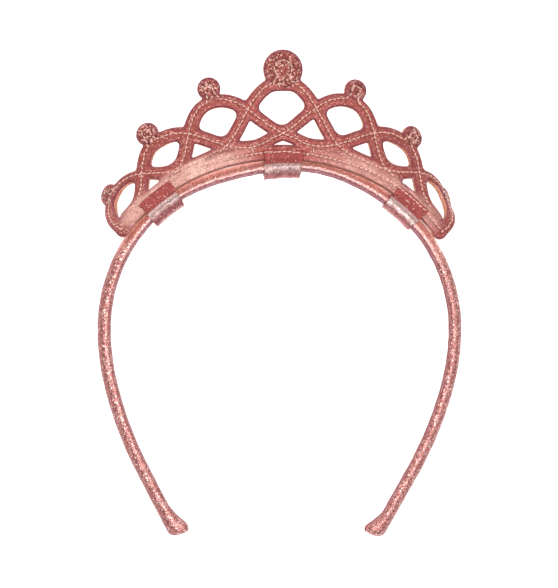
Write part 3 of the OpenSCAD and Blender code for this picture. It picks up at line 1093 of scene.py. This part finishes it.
class OBJECT_OT_tiara_stitching(Operator):
    """Lay the running stitches and the bar tacks on both faces of the panel"""

    bl_idname = "object.tiara_stitching"
    bl_label = "Stitching"

    # Height in mm of the stitches over the middle and the right loop, and the share of a loop that they cross
    over_loop, loop_share = 1.75, 0.96
    # A stitch: share of the pitch from its middle to each end, height against width, and stand-off in mm
    reach, flatness, lift = 0.3, 0.4, 0.07
    # Its unevenness: seed of the draws, scatter in mm, and slant and scatter of the slant in radians
    seed, scatter, slant, slant_scatter = 11, 0.05, 0.13, 0.07

    def on_loop(self, sheet, spots):
        """Which stitches of the base line go through the middle or the right loop."""
        q = sizes("tiara_loops")
        half = self.loop_share * q["width"] / (sheet.b["half_width"] + sheet.b["rise"])
        s, v = sheet.unflat(spots)
        where = sheet.angle_at(s) - sheet.p["turn"]
        middle = np.abs(where - q["mid_angle"]) < half
        right = np.abs(where - q["side_angle"] + q["right_back"]) < half
        return (v < 0) & (middle | right)

    def execute(self, context):
        sheet = Sheet()
        pattern = Pattern(sheet)
        s = pattern.s
        rng = np.random.default_rng(self.seed)
        half, flat = s["thread"] / 2, self.flatness * s["thread"]
        spots = []
        for line in pattern.stitches:
            runs = runs_of(line)
            count = max(1, round(runs[-1] / s["pitch"]))
            pitch = runs[-1] / count
            for i in range(count):
                ends = [(i + 0.5) * pitch + k * self.reach * pitch for k in (-1, 1)]
                a, b = (np.array([np.interp(r, runs, line[:, axis]) for axis in (0, 1)]) for r in ends)
                spots.append(((a + b) / 2 + rng.normal(0, self.scatter, 2), b - a))
        centres = np.array([c for c, _ in spots])
        front, back, _ = relief(pattern, centres)
        front = np.where(self.on_loop(sheet, centres), self.over_loop, front)
        material = thread()
        for face, name, height in ((1, "stitches_front", front), (-1, "stitches_back", back)):
            bm = bmesh.new()
            for (centre, d), h in zip(spots, height):
                long = float(np.linalg.norm(d)) / 2 + half
                turn = math.atan2(d[1], d[0]) + self.slant + rng.normal(0, self.slant_scatter)
                m = (
                    Matrix.Translation((centre[0], centre[1], face * (h + self.lift)))
                    @ Matrix.Rotation(turn, 4, "Z")
                    @ Matrix.Diagonal((long, half, flat, 1))
                    @ Matrix.Rotation(math.pi / 2, 4, "Y")
                )
                bmesh.ops.create_uvsphere(bm, u_segments=8, v_segments=5, radius=1, matrix=m)
            piece = finished(name, bm, material)
            at = points_of(piece)
            move_points(piece, rest(sheet.place(at[:, :2], at[:, 2]), sheet.p["turn"]))
        return {"FINISHED"}


class OBJECT_OT_tiara_band(Operator):
    """Wrap the band from tip to tip"""

    bl_idname = "object.tiara_band"
    bl_label = "Wrapped Band"

    # Verts round the section, and how bluntly the tips close
    sides, bluntness = 36, 2.5
    # How far the section's crest lies to the inner side, and how far each tip closes to it, in half widths
    crest_in, tuck = 0.22, 0.65
    # Stations on a leg's curves, mm between those of its straight end, those of a tip and how they crowd
    curve_rows, row_gap, tip_rows, crowding = 44, 1.2, 30, 1.4
    # Power with which the tip swells, how far it closes, and how much less it has outside, in mm
    swell_power, least_full, outer_less = 1.3, 0.04, 0.1
    # Unevenness of the wrap in mm: its wobble, the folds gathered at a tip, and the step and ridge of its lap
    wobble, folds, lap_step, lap_ridge = 0.05, 0.16, 0.22, 0.12
    # The radius on which these are laid, in mm, and the paces of the wobble, its drift and the folds
    uneven_at, paces = 2.5, (0.9, 0.23, 0.5)
    # Angles round the section: the lap, half widths of its step and of the painted shade along it, from step
    # to ridge
    seam_at, lap_wide, seam_wide, ridge_at = math.radians(153), 0.16, 0.42, 0.3
    # How much of the painted shade along the lap a gathered tip hides
    seam_hidden = 0.6

    def leg(self, b, swell, short=0.0):
        """Stations of the right leg: middle, way out, inner and outer half, depth, fullness and gather."""
        rows = []
        thick, depth = b["thick"] / 2, b["depth"] / 2
        x, y, last = b["half_width"], 0.0, 0.0
        for turn in np.linspace(0, b["leg_turn"], self.curve_rows):
            radius = b["leg_radius"] if turn <= b["leg_first"] else b["leg_radius_low"]
            x += radius * (math.cos(turn) - math.cos(last))
            y -= radius * (math.sin(turn) - math.sin(last))
            last = turn
            rows.append((x, y, math.cos(turn), -math.sin(turn), thick, thick, depth, 1, 0))
        end = b["leg_straight"] - short
        tip = end - swell * (1 - np.linspace(0, 1, self.tip_rows)) ** self.crowding
        for t in np.concatenate([np.arange(self.row_gap, end - swell, self.row_gap), tip]):
            grow = min(max((t - end + swell) / (swell - b["tip_full"]), 0.0), 1.0) ** self.swell_power
            left = max(0.0, (t - end + b["tip_round"]) / b["tip_round"])
            full = max((1 - left**self.bluntness) ** (1 / self.bluntness), self.least_full)
            place = (x - t * math.sin(last), y - t * math.cos(last))
            inner = thick + (b["tip_inner"] - thick) * grow
            outer = thick - self.outer_less * grow
            deep = depth + (b["tip_depth"] / 2 - depth) * grow
            rows.append((*place, math.cos(last), -math.sin(last), inner, outer, deep, full, grow))
        return np.array(rows, float)

    def stations(self, b):
        """Stations from the left tip over the crown to the right tip."""
        right = self.leg(b, b["tip_length_right"], b["short_right"])
        left = self.leg(b, b["tip_length"])[::-1] * [-1, 1, -1, 1, 1, 1, 1, 1, 1]
        a = np.radians(np.arange(-89, 90, 1.0))
        same = np.tile([b["thick"] / 2, b["thick"] / 2, b["depth"] / 2, 1, 0], (len(a), 1))
        crown = np.concatenate([band_point(b, a), crown_out(b, a), same], 1)
        return np.concatenate([left, crown, right])

    def section(self, a, run, full, grow):
        """Radius of the wrap at angle a, as a share of its half width, and the angle away from the lap."""
        away = abs((a - self.seam_at + math.pi) % (2 * math.pi) - math.pi)
        pace, drift, fold_pace = self.paces
        wobble = self.wobble * math.sin(run * pace + 2 * math.sin(run * drift) + a)
        fold = self.folds * grow * math.sin(6 * a + run * fold_pace) * (1 - 0.5 * full)
        step = -self.lap_step * math.exp(-((away / self.lap_wide) ** 2))
        lap = step + self.lap_ridge * math.exp(-(((away - self.ridge_at) / self.lap_wide) ** 2))
        return full * (1 + (wobble + fold + lap) / self.uneven_at), away

    def execute(self, context):
        b = sizes("tiara_band")
        rows = self.stations(b)
        bm = bmesh.new()
        ring = bmesh.ops.create_circle(bm, segments=self.sides, radius=1.0)["verts"]
        rings = sweep(bm, ring, len(rows) - 1)
        run = runs_of(rows[:, :2])
        middle = run[-1] / 2
        order, marks = [], []
        for k, (row, verts) in enumerate(zip(rows, rings)):
            x, y, ox, oy, inner, outer, depth, full, grow = row
            mid, half = (outer - inner) / 2, (outer + inner) / 2
            for v, a in zip(verts, 2 * math.pi * np.arange(self.sides) / self.sides):
                r, away = self.section(a, run[k], full, grow)
                front = max(0.0, math.sin(a)) ** 2
                reach = mid + half * (r * math.cos(a) - self.crest_in * front * full - self.tuck * (1 - full))
                v.co = (x + ox * reach, y + oy * reach, depth * r * math.sin(a))
                order.append(v)
                # Painted shade along the lap, less where a tip is gathered
                seam = math.exp(-((away / self.seam_wide) ** 2)) * (1 - self.seam_hidden * grow)
                crown = float(fade("crown", abs(run[k] - middle)))
                inner_side = float(ease(0.5 - 0.8 * (math.cos(a) + self.crest_in)))
                marks.append((seam, crown, front, inner_side))
        for verts in (rings[0], rings[-1]):
            bmesh.ops.contextual_create(bm, geom=verts)
        bm.verts.index_update()
        masks = np.zeros((len(bm.verts), 4))
        for v, row in zip(order, marks):
            masks[v.index] = row
        bmesh.ops.recalc_face_normals(bm, faces=bm.faces)
        piece = finished("wrapped_band", bm, band_wrap())
        move_points(piece, rest(points_of(piece)))
        for name, values in zip(("seam", "crown", "front", "inner"), masks.T):
            add_mask(piece, name, values)
        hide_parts("band")
        return {"FINISHED"}


class OBJECT_OT_tiara_loops(Operator):
    """Fold the three fabric loops round the band"""

    bl_idname = "object.tiara_loops"
    bl_label = "Fabric Loops"

    # The loop's path in mm: on the sheet's front (v, n), round the band (outward, forward), on the back
    on_front = ((0.05, 0.85), (-0.4, 1.35), (-1.4, 1.52), (-2.5, 1.45), (-3.2, 1.2))
    on_band = (
        *((1.0, 4.6), (0.3, 3.8), (-0.5, 3.42), (-1.3, 3.25), (-2.2, 2.8), (-3.15, 2.05), (-3.75, 1.0)),
        *((-3.9, -0.2), (-3.5, -1.5), (-2.8, -2.5), (-1.6, -3.2), (0.0, -3.35), (1.4, -3.0), (2.5, -2.1)),
        *((3.0, -0.9), (3.2, 0.3)),
    )
    on_back = ((-1.3, -1.9), (-0.4, -1.6), (0.6, -1.55), (1.8, -1.55))
    # Inward reach past which a loop hangs slack, and how far along the path its patch goes, in mm
    slack_from, patch_end = -2.5, 5.2
    # Cells across a loop, and points along it
    across, rows = 30, 90
    # Wrinkles of the slack: height in mm, then share, pace across, seed's share and pace along of two waves
    wrinkle, waves = 0.10, ((1.0, 7, 3, 0.55), (0.7, 15, 1, -0.9))
    # Wrinkles elsewhere: height in mm and pace across
    calm, calm_pace = 0.03, 9
    # Raw edges: height in mm, pace along and seed's share of two waves, and how far the slack spreads in mm
    ragged, spread = ((0.10, 2.1, 1), (0.07, 5.3, 2)), 0.25

    def line_at(self, sheet, where, reach):
        """The path at angles where on the band, as an (n, k, 3) array of points in the band's frame."""
        turn = sheet.p["turn"]
        s = sheet.run_at(where + turn)
        laid, wrapped = [], []
        for v, n in self.on_front + self.on_back:
            p = sheet.place(sheet.flat(s, np.full_like(s, v)), np.full_like(s, n))
            laid.append(np.stack([*turned(p[:, 0], p[:, 1], turn), p[:, 2]], -1))
        middle, out = band_point(sheet.b, where), crown_out(sheet.b, where)
        for o, f in self.on_band:
            o -= (1 - reach) * min(0.0, o - self.slack_from)
            wrapped.append(np.concatenate([middle + o * out, np.full((len(where), 1), f)], -1))
        front = len(self.on_front)
        return np.stack(laid[:front] + wrapped + laid[front:], 1)

    def evened(self, lines):
        """The same number of points along each line, and the lines' mean length."""
        path, length = np.empty((len(lines), self.rows, 3)), 0.0
        for i, line in enumerate(lines):
            runs = runs_of(line)
            at = np.linspace(0, runs[-1], self.rows)
            for axis in range(3):
                path[i, :, axis] = np.interp(at, runs, line[:, axis])
            length += runs[-1] / len(lines)
        return path, length

    def crumpled(self, path, u, along, slack, seed):
        """Slack and wrinkles below the band, raw edges a little uneven."""
        side, run = np.gradient(path, axis=0), np.gradient(path, axis=1)
        out = np.cross(side, run)
        out /= np.linalg.norm(out, axis=-1, keepdims=True)
        side /= np.linalg.norm(side, axis=-1, keepdims=True)
        wave = sum(k * np.sin(u * wide + seed * part + along * pace) for k, wide, part, pace in self.waves)
        calm = self.calm * np.sin(u * self.calm_pace + seed + along)
        path = path + out * (calm + self.wrinkle * wave * slack)[..., None]
        ragged = sum(k * np.sin(along * pace + part * seed) for k, pace, part in self.ragged)
        return path + side * (u * np.abs(u) ** 3 * (ragged + self.spread * slack))[..., None]

    def execute(self, context):
        q = sizes("tiara_loops")
        sheet = Sheet()
        material = loop_cloth()
        across, rows = self.across, self.rows
        half = q["width"] / (sheet.b["half_width"] + sheet.b["rise"])
        u = np.linspace(-1, 1, across + 1)
        # Name, place, seed of the wrinkles, and how far the slack hangs
        loops = (
            ("left", -q["side_angle"], 1.0, 1.35),
            ("centre", q["mid_angle"], 2.3, 1.35),
            ("right", q["side_angle"] - q["right_back"], 4.1, 0.5),
        )
        for name, place, seed, reach in loops:
            lines = smooth_line(self.line_at(sheet, place + u * half, reach), 3)
            path, length = self.evened(lines)
            along = np.linspace(0, length, rows)
            slack = fade("slack", along) * fade("slack_end", along)
            path = self.crumpled(path, u[:, None], along[None], slack[None], seed)
            bm = bmesh.new()
            bmesh.ops.create_grid(bm, x_segments=across, y_segments=rows - 1, size=0.5)
            piece = finished("loop_" + name + "_cloth", bm, material)
            flat = points_of(piece)
            i = np.round((flat[:, 0] + 0.5) * across).astype(int)
            j = np.round((flat[:, 1] + 0.5) * (rows - 1)).astype(int)
            move_points(piece, rest(path[i, j]))
            add_mask(piece, "patch", ease(self.patch_end + 0.5 - along[j]))
            add_mask(piece, "slack", slack[j])
            thick = piece.modifiers.new("Cloth", "SOLIDIFY")
            thick.thickness = q["cloth"] * MM
            thick.offset = 0
            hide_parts("loop_" + name)
        return {"FINISHED"}


class OBJECT_OT_tiara_stage(Operator):
    """Set the floor, the soft lights and the camera"""

    bl_idname = "object.tiara_stage"
    bl_label = "Stage"

    # The photograph's height and how far its middle is from the band's, in picture points
    tall, shift = 588, (-2.0, 35.0)
    # Sensor of the camera, in mm, and its near and far limits, in metres
    sensor, clip = 36.0, (0.05, 20)
    # Half width of the floor and how far it lies below the tiara, in metres
    floor_half, floor_gap = 6.0, 0.0002
    # Soft lights: setting, place, what it is aimed at, length and width, and colour
    lights = (
        ("key", (0.05, -0.3, 1.1), (0.0, 0.0, 0.0), (1.5, 0.22), (1, 1, 1)),
        ("left", (-0.6, 0.9, 0.75), (0.0, 0.04, 0.0), (0.9, 0.9), (1, 0.97, 0.95)),
        ("right", (0.6, 0.9, 0.75), (0.0, 0.04, 0.0), (0.8, 0.8), (1, 0.98, 0.96)),
    )

    def execute(self, context):
        scene = context.scene
        st = scene.tiara_stage
        bm = bmesh.new()
        bmesh.ops.create_grid(bm, x_segments=1, y_segments=1, size=self.floor_half)
        floor = made("floor", bm, plain_floor())
        floor.location.z = -self.floor_gap

        scene.world = bpy.data.worlds.new("studio")
        scene.world.use_nodes = True
        glow = scene.world.node_tree.nodes["Background"].inputs
        glow[0].default_value = (1, 1, 1, 1)
        glow[1].default_value = st.world
        scene.view_settings.view_transform = "Standard"

        t, side, roll = REST_TILT, st.side, st.roll
        level = Vector((math.cos(side), -math.sin(side) * math.sin(t), math.sin(side) * math.cos(t)))
        upright = Vector((0, math.cos(t), math.sin(t)))
        back = Vector((-math.sin(side), -math.cos(side) * math.sin(t), math.cos(side) * math.cos(t)))
        right = math.cos(roll) * level - math.sin(roll) * upright
        up = math.sin(roll) * level + math.cos(roll) * upright
        camera = bpy.data.cameras.new("photo_camera")
        holder = added("photo_camera", camera)
        place = Vector(rest(np.zeros(3))) + st.distance * back
        holder.matrix_world = Matrix.Translation(place) @ Matrix((right, up, back)).transposed().to_4x4()
        camera.sensor_fit = "AUTO"
        camera.sensor_width = self.sensor
        camera.lens = self.sensor * (st.distance / MM / st.pixel) / self.tall
        camera.shift_x, camera.shift_y = (s / self.tall for s in self.shift)
        camera.clip_start, camera.clip_end = self.clip
        scene.camera = holder

        for name, place, aim, size, tone in self.lights:
            data = bpy.data.lights.new(name + "_light", "AREA")
            data.shape = "RECTANGLE"
            data.size, data.size_y = size
            data.energy = getattr(st, name)
            data.color = tone
            lamp = added(name + "_light", data)
            lamp.location = place
            lamp.rotation_mode = "QUATERNION"
            lamp.rotation_quaternion = (Vector(aim) - Vector(place)).to_track_quat("-Z", "Y")
        return {"FINISHED"}


OPERATORS = (
    OBJECT_OT_tiara_stage,
    OBJECT_OT_tiara_band,
    OBJECT_OT_tiara_panel,
    OBJECT_OT_tiara_stitching,
    OBJECT_OT_tiara_loops,
)


class VIEW3D_PT_tiara(Panel):
    bl_label = "Glitter Tiara"
    bl_idname = "VIEW3D_PT_tiara"
    bl_space_type = "VIEW_3D"
    bl_region_type = "UI"
    bl_category = "Tiara"

    def draw(self, context):
        for op in OPERATORS:
            self.layout.operator(op.bl_idname)
        for name, group in GROUPS:
            box = self.layout.box()
            settings = getattr(context.scene, name)
            for key in group.__annotations__:
                box.prop(settings, key)


CLASSES = tuple(group for _, group in GROUPS) + OPERATORS + (VIEW3D_PT_tiara,)


def register():
    for c in CLASSES:
        bpy.utils.register_class(c)
    for name, group in GROUPS:
        setattr(bpy.types.Scene, name, PointerProperty(type=group))


def unregister():
    for name, _ in GROUPS:
        delattr(bpy.types.Scene, name)
    for c in reversed(CLASSES):
        bpy.utils.unregister_class(c)


def main():
    register()
    bpy.ops.object.tiara_stage()
    bpy.ops.object.tiara_band()
    bpy.ops.object.tiara_panel()
    bpy.ops.object.tiara_stitching()
    bpy.ops.object.tiara_loops()


if __name__ == "__main__":
    main()
